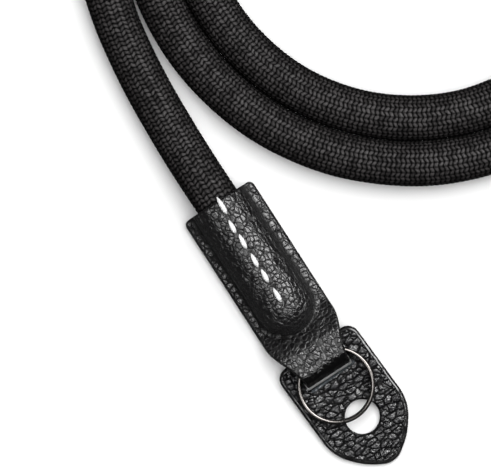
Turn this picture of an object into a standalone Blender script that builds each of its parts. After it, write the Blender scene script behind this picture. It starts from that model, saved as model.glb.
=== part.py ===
"""Coiled rope camera strap with a moulded leather end tab, a split ring and a leather shield at each end.

Units are metres, +Z is up, and the strap lies on the plane Z = 0. The two ends are
mirrored about the plane X = 0; the rope lies in two and a half turns between them.
"""

import math

import bmesh
import bpy
from mathutils import Matrix, Vector

MM = 0.001

# Rope
ROPE_DIAMETER = 10.0 * MM
ROPE_SECTION_STEPS = 4
ROPE_IN_TAB = 29.0 * MM

# Clearance that neighbouring pieces keep
GAP = 0.3 * MM

# Leather end tab: one strip folded round the split ring, its top layer moulded over the rope
LEATHER = 1.4 * MM
TAB_WIDTH = 18.3 * MM
TAB_LENGTH = 47.0 * MM
TAB_CORNER = 1.2 * MM
BULGE_LENGTH = 34.9 * MM
NECK_WIDTH = 11.5 * MM
NECK_CURVE = 1.5
FOLD_TOP_RADIUS = 2.8 * MM
EYE_SLOPE = 5.4 * MM
NECK_SLOPE = 8.2 * MM

# Leather shield that lies under the ring
SHIELD_WIDTH = 21.4 * MM
SHIELD_LENGTH = 31.5 * MM
SHIELD_LEATHER = 1.6 * MM
SHIELD_CORNER = 2.8 * MM
SHIELD_TIP_RADIUS = 4.8 * MM
SHIELD_HOLE_DIAMETER = 8.0 * MM
SHIELD_HOLE_TO_TIP = 12.3 * MM
SHIELD_STRAP_WIDTH = 5.1 * MM
SHIELD_SHIFT = 0.5 * MM
SHIELD_TURN = math.radians(3.3)
SHIELD_NOSE_SHARE = 0.385
SHIELD_TIP_SWEEP = 35

# The shield's nose: (share of the nose's length back from the tip, share of the half width)
SHIELD_NOSE = [
    (0.153, 0.397), (0.247, 0.533), (0.35, 0.648), (0.482, 0.774), (0.614, 0.874),
    (0.746, 0.942), (0.878, 0.981), (1.0, 1.0),
]

# Split ring: one round wire wound twice
RING_DIAMETER = 17.6 * MM
RING_WIRE = 0.85 * MM
RING_TURN_GAP = 0.12 * MM
RING_PAST_FOLD = 2.3 * MM
RING_SHIFT = 0.4 * MM
RING_TURNS = 1.93
RING_POINTS = 28
RING_SECTION_STEPS = 1
RING_START = math.radians(140)
RING_STEP_AT = 0.83
RING_STEP_SHARE = 0.25

# Where the ends lie: the middle of the tab's mouth and the way the tab points
MOUTH = (54.25 * MM, 27.35 * MM)
HEADING = math.radians(-57.15)

# Coil of the rope, wound clockwise as seen from above
COIL_CENTRE = (-10.35 * MM, 98.1 * MM)
COIL_RADIUS = 72.5 * MM
COIL_GAP = 0.45 * MM
COIL_POINTS = 24
COIL_STEP_SHARE = 0.28
COIL_FIRST_POINT = -1
COIL_LAST_POINT = 50

# The rope's way from the left tab to the coil, and from the coil over two turns to the
# right tab: points chosen by hand along its middle, in millimetres
LEFT_LEAD = [
    (-54.3, 27.4, 6.7), (-57.9, 32.9, 6.3), (-62.0, 39.3, 5.4), (-66.2, 46.3, 5.0),
    (-70.4, 53.8, 5.0), (-74.3, 61.6, 5.0), (-77.6, 69.6, 5.0),
]
RIGHT_LEAD = [
    (-44.9, 130.3, 6.9), (-36.3, 136.6, 10.4), (-28.3, 142.5, 13.9), (-19.3, 148.9, 15.9),
    (-8.4, 154.4, 16.2), (4.7, 157.9, 16.2), (19.3, 157.8, 15.3), (33.0, 153.2, 12.2),
    (44.6, 145.2, 8.4), (53.2, 134.7, 5.7), (59.2, 122.0, 5.0), (63.0, 108.4, 5.0),
    (65.2, 94.2, 5.0), (66.2, 81.0, 5.0), (66.2, 68.0, 5.0), (65.2, 56.0, 5.0),
    (62.9, 44.8, 5.1), (59.0, 35.2, 6.1), (54.3, 27.4, 6.7),
]
LEAD_STEP = 15.0 * MM
CURVE_STEPS = 20

# Worked out from the sizes above
ROPE_RADIUS = ROPE_DIAMETER / 2
PITCH = ROPE_DIAMETER + COIL_GAP
BORE_RADIUS = ROPE_RADIUS + GAP
BULGE_RADIUS = BORE_RADIUS + LEATHER
ROPE_HEIGHT = LEATHER + BORE_RADIUS
FLANGE_HEIGHT = 2 * LEATHER
RING_HEIGHT = 2 * RING_WIRE + RING_TURN_GAP
SLIT_WIDTH = NECK_WIDTH + 2 * (SHIELD_SHIFT + GAP)
TURN_PLAY = SLIT_WIDTH / 2 * math.sin(SHIELD_TURN)
SLIT_INNER = TAB_LENGTH - LEATHER - GAP - TURN_PLAY
SLIT_OUTER = TAB_LENGTH + GAP + TURN_PLAY
SLIT_TO_TIP = SHIELD_LENGTH - SHIELD_STRAP_WIDTH - (SLIT_OUTER - SLIT_INNER)
SHIELD_TILT = math.asin((LEATHER + GAP) / (SLIT_TO_TIP + SLIT_OUTER - SLIT_INNER))
SHIELD_RISE = (SHIELD_STRAP_WIDTH + LEATHER + 2 * GAP) * math.tan(SHIELD_TILT)
EYE_TOP = LEATHER + GAP + SHIELD_RISE + SHIELD_LEATHER + GAP + RING_HEIGHT + 2 * GAP
NECK_HEIGHT = EYE_TOP + LEATHER
EYE_FRONT = TAB_LENGTH - LEATHER
EYE_BACK = SLIT_INNER - SHIELD_STRAP_WIDTH - 2 * GAP


def clear_scene():
    for item in list(bpy.data.objects):
        bpy.data.objects.remove(item, do_unlink=True)


def new_collection(name):
    collection = bpy.data.collections.new(name)
    bpy.context.scene.collection.children.link(collection)
    return collection


def plain_material(name, colour, roughness, metallic=0.0):
    material = bpy.data.materials.new(name)
    material.use_nodes = True
    shader = material.node_tree.nodes["Principled BSDF"]
    shader.inputs["Base Color"].default_value = (*colour, 1.0)
    shader.inputs["Roughness"].default_value = roughness
    shader.inputs["Metallic"].default_value = metallic
    return material


def welded_mesh(source):
    """Make an evaluated object into a plain mesh with its loose caps welded."""
    graph = bpy.context.evaluated_depsgraph_get()
    mesh = bpy.data.meshes.new_from_object(source.evaluated_get(graph))
    shape = bmesh.new()
    shape.from_mesh(mesh)
    bmesh.ops.remove_doubles(shape, verts=shape.verts, dist=1e-6)
    bmesh.ops.recalc_face_normals(shape, faces=shape.faces)
    shape.to_mesh(mesh)
    shape.free()
    return mesh


def mesh_object(name, mesh, collection, parent=None):
    item = bpy.data.objects.new(name, mesh)
    item.parent = parent
    collection.objects.link(item)
    return item


def round_wire(name, points, radius, resolution, collection):
    """A POLY curve through 3-D points with a round section and filled caps."""
    curve = bpy.data.curves.new(name, "CURVE")
    curve.dimensions = "3D"
    curve.bevel_depth = radius
    curve.bevel_resolution = resolution
    curve.use_fill_caps = True
    spline = curve.splines.new("POLY")
    spline.points.add(len(points) - 1)
    for point, place in zip(spline.points, points):
        point.co = (*place, 1.0)
    item = bpy.data.objects.new(name, curve)
    collection.objects.link(item)
    return item


def sheet_mesh(name, outlines, thickness, collection):
    """Extrude flat outlines, the later ones as holes, upwards by a thickness."""
    curve = bpy.data.curves.new(name, "CURVE")
    curve.dimensions = "2D"
    curve.fill_mode = "BOTH"
    curve.extrude = thickness / 2
    for outline in outlines:
        spline = curve.splines.new("POLY")
        spline.points.add(len(outline) - 1)
        for point, (x, y) in zip(spline.points, outline):
            point.co = (x, y, 0.0, 1.0)
        spline.use_cyclic_u = True
    item = bpy.data.objects.new(name, curve)
    collection.objects.link(item)
    bpy.context.view_layer.update()
    mesh = welded_mesh(item)
    bpy.data.objects.remove(item, do_unlink=True)
    mesh.transform(Matrix.Translation((0, 0, thickness / 2)))
    return mesh


def arc(centre, radius, start, end, steps):
    """Points on an arc, from one angle in degrees to another."""
    points = []
    for index in range(steps + 1):
        angle = math.radians(start + (end - start) * index / steps)
        points.append((centre[0] + radius * math.cos(angle), centre[1] + radius * math.sin(angle)))
    return points


def cut(target, cutter, operation="DIFFERENCE"):
    modifier = target.modifiers.new(cutter.name, "BOOLEAN")
    modifier.operation = operation
    modifier.object = cutter
    modifier.solver = "EXACT"


def as_cutter(item):
    item.hide_render = True
    item.display_type = "WIRE"
    return item


def ease(share):
    share = min(max(share, 0.0), 1.0)
    return share * share * (3 - 2 * share)


def coil_point(index):
    """Middle of the rope at one point of the coil; every turn has its points at the same angles."""
    turn = index / COIL_POINTS
    whole = math.floor(turn)
    steps_in = max(whole + ease((turn - whole) / COIL_STEP_SHARE), 0.0)
    radius = COIL_RADIUS - PITCH * steps_in
    angle = math.pi - 2 * math.pi * turn
    x = COIL_CENTRE[0] + radius * math.cos(angle)
    y = COIL_CENTRE[1] + radius * math.sin(angle)
    return Vector((x, y, ROPE_RADIUS))


def smooth_run(points, first, last, step):
    """Points a step apart on the smooth curve through points[first] to points[last]."""
    places = [points[first]]
    for index in range(first, last):
        before, start, end, after = points[index - 1:index + 3]
        for part in range(1, CURVE_STEPS + 1):
            t = part / CURVE_STEPS
            places.append(0.5 * ((2 * start) + (end - before) * t
                          + (2 * before - 5 * start + 4 * end - after) * t * t
                          + (3 * start - before - 3 * end + after) * t * t * t))
    lengths = [0.0]
    for start, end in zip(places, places[1:]):
        lengths.append(lengths[-1] + (end - start).length)
    count = max(round(lengths[-1] / step), 1)
    run = []
    position = 0
    for number in range(count + 1):
        wanted = lengths[-1] * number / count
        while position < len(places) - 2 and lengths[position + 1] < wanted:
            position += 1
        share = (wanted - lengths[position]) / (lengths[position + 1] - lengths[position])
        place = places[position].lerp(places[position + 1], share)
        place.z = max(place.z, ROPE_RADIUS)
        run.append(place)
    return run


def rope_route():
    """The rope's middle line: left tab, lead, coil, crossing, lead and right tab."""
    left = [Vector(point) * MM for point in LEFT_LEAD]
    right = [Vector(point) * MM for point in RIGHT_LEAD]
    into_tab = Vector((math.cos(HEADING), math.sin(HEADING), 0)) * ROPE_IN_TAB
    left_end = Vector((-MOUTH[0], MOUTH[1], ROPE_HEIGHT)) + into_tab
    right_end = Vector((MOUTH[0], MOUTH[1], ROPE_HEIGHT)) + into_tab * Vector((-1, 1, 1))
    coil = [coil_point(index) for index in range(COIL_FIRST_POINT, COIL_LAST_POINT + 1)]
    lead_in = smooth_run([left_end, *left, *coil[:2]], 1, len(left) + 1, LEAD_STEP)
    lead_out = smooth_run([*coil[-2:], *right, right_end], 1, len(right) + 1, LEAD_STEP)
    middle_in = left_end.lerp(lead_in[0], 0.5)
    middle_out = right_end.lerp(lead_out[-1], 0.5)
    return [left_end, middle_in, *lead_in[:-1], *coil, *lead_out[1:], middle_out, right_end]


def build_rope(collection, material):
    rope = round_wire("rope", rope_route(), ROPE_RADIUS, ROPE_SECTION_STEPS, collection)
    rope.data.materials.append(material)


def slope(start, end):
    """Points down a slope from one place to another, eased at both ends and straight between."""
    points = []
    for index in range(11):
        share = index / 10
        fallen = (ease(share) + share) / 2
        points.append((start[0] + (end[0] - start[0]) * share, start[1] + (end[1] - start[1]) * fallen))
    return points


def tab_outline():
    """Plan of the folded strip: straight sides, then narrowing to the neck at the fold."""
    half = TAB_WIDTH / 2
    neck = NECK_WIDTH / 2
    side = []
    for index in range(11):
        share = index / 10
        x = BULGE_LENGTH + (TAB_LENGTH - BULGE_LENGTH) * share
        side.append((x, neck + (half - neck) * (1 - math.sin(math.pi / 2 * share) ** NECK_CURVE)))
    corner = arc((TAB_CORNER, half - TAB_CORNER), TAB_CORNER, 180, 90, 4)
    upper = corner + side
    return upper + [(x, -y) for x, y in reversed(upper)]


def strip_profile():
    """Side view of the strip: back layer, fold, and the layer that passes over ring and shield."""
    heel_radius = LEATHER + GAP
    heel = arc((TAB_LENGTH - heel_radius, heel_radius), heel_radius, -90, 0, 4)
    brow = arc((TAB_LENGTH - FOLD_TOP_RADIUS, NECK_HEIGHT - FOLD_TOP_RADIUS), FOLD_TOP_RADIUS, 0, 90, 6)
    fall = slope((EYE_BACK, NECK_HEIGHT), (EYE_BACK - NECK_SLOPE, FLANGE_HEIGHT))
    return [(0.0, 0.0)] + heel + brow + fall + [(0.0, FLANGE_HEIGHT)]


def eye_profile():
    """Side view of the hollow that the fold leaves round the ring and the shield's strap."""
    brow_radius = FOLD_TOP_RADIUS - LEATHER
    heel = arc((EYE_FRONT - GAP, LEATHER + GAP), GAP, -90, 0, 3)
    brow = arc((EYE_FRONT - brow_radius, EYE_TOP - brow_radius), brow_radius, 0, 90, 5)
    return heel + brow + slope((EYE_BACK, EYE_TOP), (EYE_BACK - EYE_SLOPE + LEATHER / 2, LEATHER))


def upright(mesh, width):
    """Turn a flat outline's mesh, drawn as side view, upright and centre it on the tab."""
    mesh.transform(Matrix.Rotation(math.pi / 2, 4, "X"))
    mesh.transform(Matrix.Translation((0, width / 2, 0)))
    return mesh


def capsule(name, radius, start, end, collection):
    """A cylinder along +X with a half ball at its far end, turned from its profile."""
    profile = [(start, 0.0), (start, radius)]
    profile += [(end - radius + y, x) for x, y in arc((0, 0), radius, 0, 90, 6)]
    profile[-1] = (end, 0.0)
    mesh = bpy.data.meshes.new(name)
    shape = bmesh.new()
    corners = [shape.verts.new((x, 0.0, z)) for x, z in profile]
    for first, second in zip(corners, corners[1:]):
        shape.edges.new((first, second))
    axis = Vector((1, 0, 0))
    bmesh.ops.spin(shape, geom=shape.verts[:] + shape.edges[:], cent=(0, 0, 0), axis=axis,
                   angle=2 * math.pi, steps=24)
    bmesh.ops.remove_doubles(shape, verts=shape.verts, dist=1e-6)
    bmesh.ops.recalc_face_normals(shape, faces=shape.faces)
    shape.to_mesh(mesh)
    shape.free()
    mesh.transform(Matrix.Translation((0, 0, ROPE_HEIGHT)))
    return mesh_object(name, mesh, collection)


def build_tab(name, frame, collection, cutters, material):
    """The folded strip, joined to the bulge over the rope, with the bore and the eye cut out."""
    strip = sheet_mesh(name, [strip_profile()], TAB_WIDTH, collection)
    tab = mesh_object(name, upright(strip, TAB_WIDTH), collection)
    plan = sheet_mesh(name + "_plan", [tab_outline()], NECK_HEIGHT + 2 * GAP, cutters)
    plan.transform(Matrix.Translation((0, 0, -GAP)))
    cut(tab, as_cutter(mesh_object(name + "_plan", plan, cutters)), "INTERSECT")

    skirt_end = BULGE_LENGTH - BULGE_RADIUS
    skirt_outline = [(0.0, BULGE_RADIUS), (0.0, -BULGE_RADIUS)]
    skirt_outline += arc((skirt_end, 0), BULGE_RADIUS, -90, 90, 12)
    skirt = sheet_mesh(name + "_skirt", [skirt_outline], ROPE_HEIGHT - LEATHER / 2, cutters)
    skirt.transform(Matrix.Translation((0, 0, LEATHER / 2)))
    cut(tab, as_cutter(mesh_object(name + "_skirt", skirt, cutters)), "UNION")
    bulge = as_cutter(capsule(name + "_bulge", BULGE_RADIUS, 0.0, BULGE_LENGTH, cutters))
    cut(tab, bulge, "UNION")

    bore = as_cutter(capsule(name + "_bore", BORE_RADIUS, -GAP, BULGE_LENGTH - LEATHER, cutters))
    cut(tab, bore)
    eye_width = TAB_WIDTH + 2 * GAP
    eye = upright(sheet_mesh(name + "_eye", [eye_profile()], eye_width, cutters), eye_width)
    cut(tab, as_cutter(mesh_object(name + "_eye", eye, cutters)))

    bpy.context.view_layer.update()
    mesh = welded_mesh(tab)
    bpy.data.objects.remove(tab, do_unlink=True)
    finished = mesh_object(name, mesh, collection, frame)
    finished.data.materials.append(material)


def shield_outline():
    """Plan of the shield from its tip at the origin back along -X."""
    half = SHIELD_WIDTH / 2
    nose = SHIELD_LENGTH * SHIELD_NOSE_SHARE
    tip = arc((-SHIELD_TIP_RADIUS, 0), SHIELD_TIP_RADIUS, 0, SHIELD_TIP_SWEEP, 4)
    curve = [(-nose * share, half * width) for share, width in SHIELD_NOSE]
    back = arc((-SHIELD_LENGTH + SHIELD_CORNER, half - SHIELD_CORNER), SHIELD_CORNER, 90, 180, 5)
    upper = tip + curve + back
    return upper[::-1] + [(x, -y) for x, y in upper[1:]]


def build_shield(name, frame, hand, collection, material):
    """Flat leather plate with a hole for the camera's lug and a slit for the tab's neck."""
    slit_back = -SLIT_TO_TIP - (SLIT_OUTER - SLIT_INNER)
    slit = [
        (slit_back, -SLIT_WIDTH / 2), (-SLIT_TO_TIP, -SLIT_WIDTH / 2),
        (-SLIT_TO_TIP, SLIT_WIDTH / 2), (slit_back, SLIT_WIDTH / 2),
    ]
    hole = arc((-SHIELD_HOLE_TO_TIP, 0), SHIELD_HOLE_DIAMETER / 2, 0, 360, 16)[1:]
    mesh = sheet_mesh(name, [shield_outline(), slit, hole], SHIELD_LEATHER, collection)
    mesh.transform(Matrix.Translation((SLIT_TO_TIP, 0, 0)))
    shield = mesh_object(name, mesh, collection, frame)
    height = SLIT_TO_TIP * math.sin(SHIELD_TILT)
    shield.location = (SLIT_OUTER, hand * SHIELD_SHIFT, height)
    shield.rotation_euler = (0, SHIELD_TILT, hand * SHIELD_TURN)
    shield.data.materials.append(material)


def build_ring(name, frame, hand, collection, material):
    """Round wire wound nearly twice; it steps from the lower turn to the upper one."""
    radius = RING_DIAMETER / 2 - RING_WIRE / 2
    points = []
    for index in range(round(RING_POINTS * RING_TURNS) + 1):
        turn = index / RING_POINTS
        angle = RING_START + 2 * math.pi * turn
        lift = (RING_WIRE + RING_TURN_GAP) * ease((turn - RING_STEP_AT) / RING_STEP_SHARE)
        points.append((radius * math.cos(angle), radius * math.sin(angle), RING_WIRE / 2 + lift))
    wire = round_wire(name, points, RING_WIRE / 2, RING_SECTION_STEPS, collection)
    wire.parent = frame
    lean = (SHIELD_LEATHER + GAP) / math.cos(SHIELD_TILT)
    past_slit = RING_PAST_FOLD - GAP
    height = (SLIT_TO_TIP - past_slit) * math.sin(SHIELD_TILT) + lean
    wire.location = (TAB_LENGTH + RING_PAST_FOLD, hand * RING_SHIFT, height)
    wire.rotation_euler = (0, SHIELD_TILT, 0)
    wire.data.materials.append(material)


def build_end(side, hand, collection, cutters, leather, metal):
    """One end of the strap, placed by an empty at the middle of the tab's mouth."""
    frame = bpy.data.objects.new(side + "_end", None)
    collection.objects.link(frame)
    frame.location = (-hand * MOUTH[0], MOUTH[1], 0)
    frame.rotation_euler = (0, 0, HEADING if hand > 0 else -math.pi - HEADING)
    build_tab(side + "_tab", frame, collection, cutters, leather)
    build_shield(side + "_shield", frame, hand, collection, leather)
    build_ring(side + "_ring", frame, hand, collection, metal)


clear_scene()
strap = new_collection("camera_strap")
cutting_shapes = new_collection("cutting_shapes")
cord = plain_material("black_cord", (0.02, 0.02, 0.022), 0.75)
black_leather = plain_material("black_leather", (0.018, 0.018, 0.02), 0.5)
dark_nickel = plain_material("dark_nickel", (0.22, 0.21, 0.21), 0.3, 1.0)
build_rope(strap, cord)
build_end("left", 1, strap, cutting_shapes, black_leather, dark_nickel)
build_end("right", -1, strap, cutting_shapes, black_leather, dark_nickel)
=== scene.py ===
import math

import bpy
import numpy as np
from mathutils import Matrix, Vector
from mathutils.kdtree import KDTree


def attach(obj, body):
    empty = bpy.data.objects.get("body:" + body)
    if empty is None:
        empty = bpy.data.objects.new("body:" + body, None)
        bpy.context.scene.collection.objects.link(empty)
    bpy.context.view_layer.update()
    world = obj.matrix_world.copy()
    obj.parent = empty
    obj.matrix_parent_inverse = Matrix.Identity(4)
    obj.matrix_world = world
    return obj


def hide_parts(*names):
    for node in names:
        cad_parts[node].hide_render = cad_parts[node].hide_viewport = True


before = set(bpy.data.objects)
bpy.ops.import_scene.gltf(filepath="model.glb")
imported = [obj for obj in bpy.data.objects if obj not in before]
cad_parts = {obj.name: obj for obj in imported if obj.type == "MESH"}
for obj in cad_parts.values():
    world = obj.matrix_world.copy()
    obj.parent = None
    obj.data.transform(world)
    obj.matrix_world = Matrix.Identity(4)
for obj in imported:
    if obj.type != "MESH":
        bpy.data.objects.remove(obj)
bpy.context.view_layer.update()


# Table, lights and camera
# The strap lies on a white studio table and is seen from straight above through a long lens. A big
# soft lamp above gives the light and the shadows; two soft cards, right and left, show only in the
# gloss. Table and room look white but give back little light, so that every flank stays black.
PHOTO_WIDTH_PIXELS = 491
PHOTO_MM_PER_PIXEL = 0.22727
PHOTO_MIDDLE = (-0.04784, 0.01971)
CAMERA_HEIGHT = 2.2
CAMERA_CLIP = (0.1, 20.0)
CORD_MIDDLE_HEIGHT = 0.005
SENSOR_WIDTH = 36.0
TABLE_HALF = 3.0
TABLE_DROP = 0.00002
TABLE_ROUGHNESS = 0.9
TABLE_WHITE = 0.80
TABLE_IN_BOUNCE = 0.06
KEY_PLACE = (0.11, 0.24, 1.07)
KEY_SIZE = 1.15
KEY_POWER = 23.6
SIDE_PLACE = (0.50, 0.45, 0.88)
SIDE_SIZE = 0.85
SIDE_POWER = 20.5
LEFT_PLACE = (-0.34, -0.20, 1.0)
LEFT_SIZE = 0.55
LEFT_POWER = 4.0
ROOM_FILL = 0.06
ROOM_GLOSS = 0.03
ROOM_SEEN = 0.95


def add_object(name, data):
    made = bpy.data.objects.new(name, data)
    bpy.context.scene.collection.objects.link(made)
    return made


def new_material(name):
    material = bpy.data.materials.new(name)
    material.use_nodes = True
    tree = material.node_tree
    return material, tree, tree.nodes["Principled BSDF"]


def set_values(node, values):
    for title, value in values.items():
        node.inputs[title].default_value = value


def add_lamp(name, place, size, power):
    """A square lamp that looks at the middle of the table and isn't seen itself."""
    lamp = bpy.data.lights.new(name, "AREA")
    lamp.shape = "SQUARE"
    lamp.size = size
    lamp.energy = power
    holder = add_object(name, lamp)
    holder.location = place
    holder.rotation_mode = "QUATERNION"
    holder.rotation_quaternion = (-Vector(place)).to_track_quat("-Z", "Y")
    holder.visible_camera = False
    return holder


table_corners = [
    (x * TABLE_HALF, y * TABLE_HALF, -TABLE_DROP)
    for x, y in ((-1, -1), (1, -1), (1, 1), (-1, 1))
]
table_mesh = bpy.data.meshes.new("table_top")
table_mesh.from_pydata(table_corners, [], [(0, 1, 2, 3)])
table = add_object("table_top", table_mesh)
table_paint, table_tree, table_shader = new_material("white_table")
set_values(table_shader, {"Roughness": TABLE_ROUGHNESS, "Specular IOR Level": 0.0})
table_ray = table_tree.nodes.new("ShaderNodeLightPath")
table_tone = table_tree.nodes.new("ShaderNodeMapRange")
set_values(table_tone, {"To Min": TABLE_IN_BOUNCE, "To Max": TABLE_WHITE})
table_tree.links.new(table_ray.outputs["Is Camera Ray"], table_tone.inputs["Value"])
table_tree.links.new(table_tone.outputs["Result"], table_shader.inputs["Base Color"])
table_mesh.materials.append(table_paint)

key_lamp = add_lamp("key_lamp", KEY_PLACE, KEY_SIZE, KEY_POWER)
key_lamp.visible_glossy = False
side_lamp = add_lamp("side_lamp", SIDE_PLACE, SIDE_SIZE, SIDE_POWER)
side_lamp.visible_diffuse = False
left_lamp = add_lamp("left_lamp", LEFT_PLACE, LEFT_SIZE, LEFT_POWER)
left_lamp.visible_diffuse = False

room = bpy.data.worlds.new("studio_room")
room.use_nodes = True
room_tree = room.node_tree
room_tree.nodes.clear()
room_out = room_tree.nodes.new("ShaderNodeOutputWorld")
room_ray = room_tree.nodes.new("ShaderNodeLightPath")


def room_shade(strength):
    shade = room_tree.nodes.new("ShaderNodeBackground")
    set_values(shade, {"Strength": strength, "Color": (1.0, 1.0, 1.0, 1.0)})
    return shade.outputs[0]


def room_choice(share, without, with_it):
    choice = room_tree.nodes.new("ShaderNodeMixShader")
    for number, link in enumerate((share, without, with_it)):
        room_tree.links.new(link, choice.inputs[number])
    return choice.outputs[0]


room_lit = room_choice(room_ray.outputs["Is Diffuse Ray"], room_shade(ROOM_GLOSS), room_shade(ROOM_FILL))
room_all = room_choice(room_ray.outputs["Is Camera Ray"], room_lit, room_shade(ROOM_SEEN))
room_tree.links.new(room_all, room_out.inputs["Surface"])
bpy.context.scene.world = room
bpy.context.scene.view_settings.view_transform = "Standard"

photo_width = PHOTO_WIDTH_PIXELS * PHOTO_MM_PER_PIXEL / 1000
lens = bpy.data.cameras.new("photo_camera")
lens.sensor_width = SENSOR_WIDTH
lens.lens = SENSOR_WIDTH * (CAMERA_HEIGHT - CORD_MIDDLE_HEIGHT) / photo_width
lens.clip_start, lens.clip_end = CAMERA_CLIP
camera = add_object("photo_camera", lens)
camera.location = (*PHOTO_MIDDLE, CAMERA_HEIGHT)
bpy.context.scene.camera = camera


# Rope
# Black nylon rope, 10 mm thick, braided round a soft core in 28 columns of short slanted floats.
# It runs from inside the left tab round two and a half turns and into the right tab. Turns side by
# side press into each other a little. Painted shade darkens colour and coat down the sides, nearly to black.
ROPE_DIAMETER = 0.010
ROPE_IN_TAB = 0.029
ROPE_IN_TAB_HEIGHT = 0.0067
TAB_MOUTH = (0.05425, 0.02735)
TAB_HEADING = math.radians(-57.15)
COIL_MIDDLE = (-0.01035, 0.0981)
COIL_RADIUS = 0.0725
COIL_PITCH = 0.01035
COIL_STEP_SHARE = 0.28
COIL_POINTS = (-1, 51)
POINTS_PER_TURN = 24
LEFT_LEAD = [
    (-54.3, 27.4, 6.7), (-57.9, 32.9, 6.3), (-62.0, 39.3, 5.4), (-66.2, 46.3, 5.0),
    (-70.4, 53.8, 5.0), (-74.3, 61.6, 5.0), (-77.6, 69.6, 5.0),
]
RIGHT_LEAD = [
    (-44.9, 130.3, 6.9), (-36.3, 136.6, 10.4), (-28.3, 142.5, 13.9), (-19.3, 148.9, 15.9),
    (-8.4, 154.4, 16.2), (4.7, 157.9, 16.2), (19.3, 157.8, 15.3), (33.0, 153.2, 12.2),
    (44.6, 145.2, 8.4), (53.2, 134.7, 5.7), (59.2, 122.0, 5.0), (63.0, 108.4, 5.0),
    (65.2, 94.2, 5.0), (66.2, 81.0, 5.0), (66.2, 68.0, 5.0), (65.2, 56.0, 5.0),
    (62.9, 44.8, 5.1), (59.0, 35.2, 6.1), (54.3, 27.4, 6.7),
]
BRAID_COLUMNS = 28
BRAID_PITCH = 0.00108
RINGS_PER_PITCH = 3
BRAID_CROWN = 0.00519
BRAID_DIP = 0.00030
BRAID_DEPTH = 0.00060
SIDE_PRESS = 0.75
SIDE_PRESS_POWER = 6
SWELL = 0.00004
SWELL_RATE = 210.0
LONG_SWELL = 0.00003
LONG_SWELL_RINGS = 71.0
RIPPLE = 0.004
RIPPLE_PER_COLUMN = 2.4
RIPPLE_RINGS = 9.0
FLOAT_LEAN = 0.34
FLOAT_NARROWING = 0.58
FLOAT_ROUNDING = 0.6
FLOAT_EDGE_POWER = 1.7
WOBBLE_SCALE = 1.25
WOBBLE = 0.6
YARN_SCALE = 6.0
YARN_STRETCH = 0.35
YARN_RELIEF = 0.18
YARN_STREAKS = (2.4, -0.2)
FLOAT_CHANCE = (0.9, 0.5)
PATCH_SCALE = 260.0
PATCH_STRENGTH = (0.8, 0.6)
SHEEN = 0.62
SIDE_SHADE_FROM = 0.20
SIDE_SHADE_FULL = 0.82
SIDE_SHADE_AND_SHEEN = 0.35
FLOAT_COLOUR = (0.0365, 0.0332, 0.0335, 1.0)
GAP_PAINTED_SHADE = (0.0008, 0.0007, 0.0007, 1.0)


def eased(share):
    share = min(max(share, 0.0), 1.0)
    return share * share * (3 - 2 * share)


def coil_point(index):
    turn = index / POINTS_PER_TURN
    whole = math.floor(turn)
    steps_in = max(whole + eased((turn - whole) / COIL_STEP_SHARE), 0.0)
    radius = COIL_RADIUS - COIL_PITCH * steps_in
    angle = math.pi - 2 * math.pi * turn
    x = COIL_MIDDLE[0] + radius * math.cos(angle)
    y = COIL_MIDDLE[1] + radius * math.sin(angle)
    return np.array([x, y, ROPE_DIAMETER / 2])


def smooth_line(points, steps=24):
    """Many points on the smooth curve through the given ones."""
    padded = [2 * points[0] - points[1], *points, 2 * points[-1] - points[-2]]
    line = [points[0]]
    for before, start, end, after in zip(padded, padded[1:], padded[2:], padded[3:]):
        for part in range(1, steps + 1):
            t = part / steps
            line.append(0.5 * (2 * start + (end - before) * t
                        + (2 * before - 5 * start + 4 * end - after) * t * t
                        + (3 * start - before - 3 * end + after) * t ** 3))
    return np.array(line)


def even_line(line, count):
    """The same line cut at count + 1 places an equal length apart, and its length."""
    travel = np.concatenate([[0.0], np.cumsum(np.linalg.norm(np.diff(line, axis=0), axis=1))])
    wanted = np.linspace(0.0, travel[-1], count + 1)
    return np.stack([np.interp(wanted, travel, line[:, axis]) for axis in range(3)], axis=1), travel[-1]


def rope_points():
    """The rope's middle from the left tab's inside to the right tab's."""
    heading = np.array([math.cos(TAB_HEADING), math.sin(TAB_HEADING), 0.0])
    left_end = np.array([-TAB_MOUTH[0], TAB_MOUTH[1], ROPE_IN_TAB_HEIGHT]) + heading * ROPE_IN_TAB
    right_end = left_end * np.array([-1.0, 1.0, 1.0])
    left = [np.array(point) / 1000 for point in LEFT_LEAD]
    right = [np.array(point) / 1000 for point in RIGHT_LEAD]
    coil = [coil_point(index) for index in range(*COIL_POINTS)]
    between_left = (left_end + left[0]) / 2
    between_right = (right_end + right[-1]) / 2
    points = [left_end, between_left, *left, *coil, *right, between_right, right_end]
    line = smooth_line(points)
    line[:, 2] = np.maximum(line[:, 2], ROPE_DIAMETER / 2)
    return line


def smooth_faces(mesh):
    mesh.polygons.foreach_set("use_smooth", [True] * len(mesh.polygons))


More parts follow.
